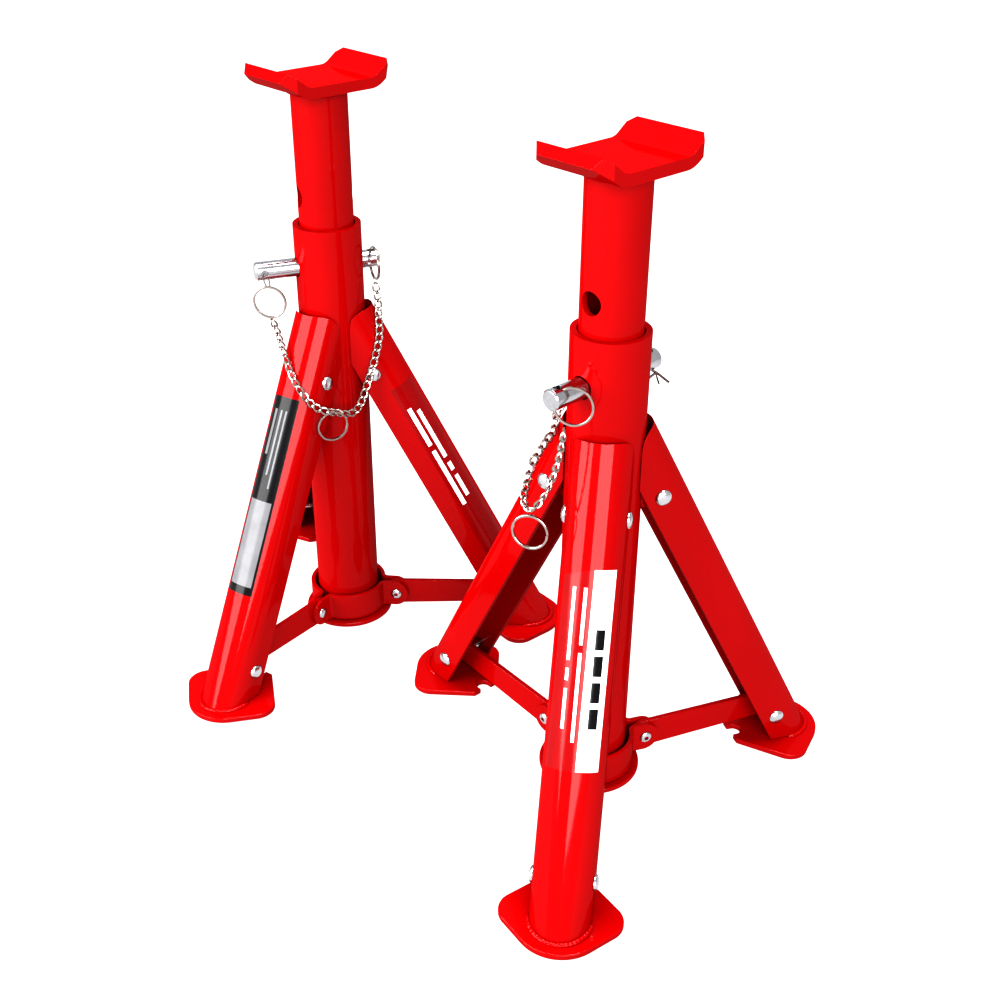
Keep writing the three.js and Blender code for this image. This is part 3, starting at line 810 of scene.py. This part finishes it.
def smooth_path(points, pitch):
    """Points a pitch apart along a smooth curve through the given ones."""
    fine = []
    steps = 24
    last = len(points) - 1
    for i in range(last):
        before, start, end, after = points[max(i - 1, 0)], points[i], points[i + 1], points[min(i + 2, last)]
        for k in range(steps):
            t = k / steps
            bend = (2 * start + (end - before) * t + (2 * before - 5 * start + 4 * end - after) * t ** 2
                    + (3 * start - before - 3 * end + after) * t ** 3)
            fine.append(bend / 2)
    fine.append(points[-1])
    total = sum((b - a).length for a, b in zip(fine, fine[1:]))
    count = round(total / pitch)
    spaced = [fine[0]]
    gone = 0.0
    for a, b in zip(fine, fine[1:]):
        step = (b - a).length
        while len(spaced) < count and gone + step >= total / count * len(spaced):
            spaced.append(a.lerp(b, (total / count * len(spaced) - gone) / step))
        gone += step
    return spaced + [fine[-1]], total


def link_mesh():
    """One oval link along x, twisted from end to end as in a curb chain."""
    path = []
    steps = 28
    for i in range(steps):
        a = 2 * math.pi * i / steps
        x = LINK["half_length"] * math.cos(a)
        twist = LINK["twist"] * math.cos(a)
        y = LINK["half_width"] * math.sin(a)
        path.append(Vector((x, y * math.cos(twist), y * math.sin(twist))))
    return sweep("link", path, LINK["wire"], 8, loop=True)


def chain_mesh(points, seed):
    chance = random.Random(seed)
    normal = Vector((0, 1, 0))
    meshes = []
    for start, end in zip(points, points[1:]):
        along = (end - start).normalized()
        normal = (normal - along * normal.dot(along)).normalized()
        tilt = math.radians(chance.uniform(-9, 9)) + math.radians(35)
        side = along.cross(normal)
        across = normal * math.cos(tilt) + side * math.sin(tilt)
        third = along.cross(across)
        turn = Matrix((along, across, third)).transposed().to_4x4()
        link = link_mesh()
        link.transform(Matrix.Translation((start + end) / 2) @ turn)
        meshes.append(link)
    return joined("chain", meshes)


def add_chain(stand):
    facts = STANDS[stand]
    axis = post_axis(stand)
    route = [axis + Vector(p) for p in facts["chain"]]
    points, length = smooth_path(route, LINK["pitch"])
    chain = add_piece(f"{stand}_fine_chain", chain_mesh(points, 3), Matrix(), NICKEL, None,
                      [f"{stand}_chain"])
    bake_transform(chain)
    loose = split_ring(SPARE_RING_RADIUS, RING["wire"])
    turn = Matrix.Rotation(facts["spare"]["turn"], 4, "Z") @ Matrix.Rotation(math.pi / 2, 4, "X")
    place = Matrix.Translation(axis + Vector(facts["spare"]["at"])) @ turn
    spare = add_piece(f"{stand}_fine_loose_ring", loose, place, NICKEL, None,
                      [f"{stand}_chain_ring"])
    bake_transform(spare)


def bent_wire(points, wire):
    """A round wire along a smooth curve through points given in mm."""
    path, _ = smooth_path([Vector(p) * MM for p in points], 0.6 * MM)
    return sweep("wire", path, wire, 12)


def clip_mesh():
    """A bent wire from the pin's rear hole: one long and one short prong, and a loop back to the chain."""
    wire = 0.62 * MM
    stem = bent_wire([(0, 0, 4), (0.6, 0, -2), (1.8, -0.2, -5), (4.9, -1, -6.6), (11, -3.5, -10.6)], wire)
    short = bent_wire([(4.2, -1, -6.2), (4.9, -2, -8.6), (5.9, -4.1, -11.2)], 0.7 * wire)
    loop = bent_wire([(4.2, -1, -6.4), (2.4, -1.9, -7.6), (0.3, -2.5, -8.9), (-1.4, -1.9, -8.2),
                      (-3.2, -0.7, -7.2), (-5.2, 1.6, -8), (-6, 4, -9.3), (-5, 5.6, -11.3),
                      (-4.2, 4.2, -12.2), (-4.9, 2.6, -11.2)], wire)
    return joined("clip", [stem, short, loop])


def jump_link(start, end):
    """A small oval wire link from one point to another."""
    middle, along = (start + end) / 2, (end - start) / 2
    across = along.cross(Vector((0, 1, 0))).normalized() * (1.5 * MM)
    turns = [2 * math.pi * i / 24 for i in range(24)]
    path = [middle + along * math.cos(a) + across * math.sin(a) for a in turns]
    return sweep("link", path, 0.45 * MM, 10, loop=True)


def add_pin(stand):
    facts = STANDS[stand]
    axis = post_axis(stand)
    line = pin_matrix(stand) @ Matrix.Translation((facts["pin_shift"], 0, PIN_HEIGHT))
    pin = add_piece(f"{stand}_fine_pin", pin_mesh(facts["front_turn"]), line, CHROME, f"{stand}_pin_set",
                    [f"{stand}_pin"], 0.2 * MM)
    pin.data.materials.append(SAWN)
    way = line.to_3x3() @ Vector((1, 0, 0))
    for face in pin.data.polygons:
        if abs(face.normal.dot(way)) > 0.98:
            face.material_index = 1
    ring = split_ring(RING["radius"], RING["wire"])
    hole = PIN["half"] - PIN["end_to_hole"]
    if stand == "stand1":
        place = facing(axis + STAND1_FRONT_RING["from_post"], STAND1_FRONT_RING["normal"])
        rear = clip_mesh()
        rear_place = Matrix.Translation(line @ Vector((-hole, 0, 0)))
        rear_node = f"{stand}_hairpin"
    else:
        low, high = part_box(f"{stand}_pin_ring")
        middle = (low + high) / 2 + Vector((2.4, 0, -0.6)) * MM
        place = facing(middle, (0.1, 1, 0))
        link = jump_link(line @ Vector((hole, 4.4 * MM, -0.6 * MM)), middle + Vector((0, 0, 9 * MM)))
        add_piece(f"{stand}_jump_link", link, Matrix(), NICKEL, f"{stand}_pin_set")
        rear = split_ring(RING["radius"], RING["wire"])
        rear_place = line @ Matrix.Translation((-hole, RING["offset"], 0))
        rear_place = rear_place @ Matrix.Rotation(math.pi / 2, 4, "Y")
        rear_node = f"{stand}_rear_ring"
    add_piece(f"{stand}_fine_ring", ring, place, NICKEL, f"{stand}_pin_set",
              [f"{stand}_pin_ring"])
    metal = DARK_WIRE if stand == "stand1" else NICKEL
    add_piece(f"{stand}_fine_rear", rear, rear_place, metal, f"{stand}_clip", [rear_node])


# ---- labels: thin films on the legs, blank but for plain blocks ----
def film(name, corners, height):
    """A film on the leg. Its (angle, run) corners are top left, top right, bottom left, bottom right."""
    top_left, top_right, bottom_left, bottom_right = [Vector(c) for c in corners]
    grids = []
    for radius in (LEG["radius"] + height, LEG["radius"] + height - 0.08 * MM):
        grid = []
        for i in range(13):
            row = []
            for j in range(13):
                s, t = i / 12, j / 12
                above = top_left * (1 - t) + top_right * t
                below = bottom_left * (1 - t) + bottom_right * t
                place = above * (1 - s) + below * s
                a = math.radians(place.x)
                row.append(leg_point(radius * math.cos(a), radius * math.sin(a), place.y * MM))
            grid.append(row)
        grids.append(grid)
    return slab(name, grids[0], grids[1])


def add_film(stand, number, name, corners, height, material):
    mesh = film("film", corners, height * MM)
    add_piece(f"{stand}_label_{name}", mesh, leg_matrix(stand, number), material,
              f"{stand}_leg_set_{number}")


def box_corners(left, right, top, bottom):
    return [(left, top), (right, top), (left, bottom), (right, bottom)]


def add_marks(stand, number, name, boxes, material):
    """A row of plain blocks lying on a label."""
    for i, corners in enumerate(boxes):
        add_film(stand, number, f"{name}_{i + 1}", box_corners(*corners), 0.2, material)


def add_labels():
    add_film("stand1", 1, "field", [(-50, 29), (9.7, 25), (-59, 124.5), (7.2, 124.3)], 0.12,
             LABEL_RED)
    add_film("stand1", 1, "band", [(9.7, 25), (54, 24.4), (7.2, 124.3), (53.2, 124.4)], 0.14,
             LABEL_WHITE)
    lines = [(-6, 0, 34, 62), (-6, 0, 66, 110), (-27, -21, 34, 70), (-27, -21, 74, 80), (-27, -21, 84, 104)]
    add_marks("stand1", 1, "line", lines, LABEL_WHITE)
    blocks = [(22, 40, 54, 64), (22, 40, 67, 77), (22, 40, 80, 90), (22, 40, 93, 103)]
    add_marks("stand1", 1, "block", blocks, LABEL_BLACK)
    add_film("stand2", 2, "field", box_corners(-76, -8, 14, 146), 0.12, LABEL_RED)
    lines = [(-66, -56, 30, 58), (-66, -56, 62, 104), (-48, -38, 34, 70), (-48, -38, 74, 80),
             (-48, -38, 84, 100)]
    add_marks("stand2", 2, "line", lines, LABEL_WHITE)
    add_film("stand2", 1, "panel", box_corners(-34, 34, 14, 136), 0.12, LABEL_BLACK)
    add_film("stand2", 1, "plate", box_corners(-29, 29, 78, 131), 0.2, LABEL_GREY)
    lines = [(-20, -12, 22, 50), (-2, 3, 22, 62), (10, 14, 22, 70)]
    add_marks("stand2", 1, "line", lines, LABEL_GREY)


# ---- assembly ----
def add_floor():
    half = FLOOR_HALF
    corners = [(-half, -half, 0), (half, -half, 0), (half, half, 0), (-half, half, 0)]
    mesh = mesh_of("floor", corners, [(0, 1, 2, 3)])
    floor = bpy.data.objects.new("floor", mesh)
    floor.location.z = -FLOOR_DROP
    mesh.materials.append(floor_paper())
    bpy.context.scene.collection.objects.link(floor)


add_camera()
for stand_name in STANDS:
    add_chain(stand_name)
add_studio()
add_floor()
for stand_name in STANDS:
    add_post(stand_name)
    add_column(stand_name)
    add_pin(stand_name)
    add_collar(stand_name)
    for leg_number in LEG_BEARINGS:
        add_leg(stand_name, leg_number)
add_labels()
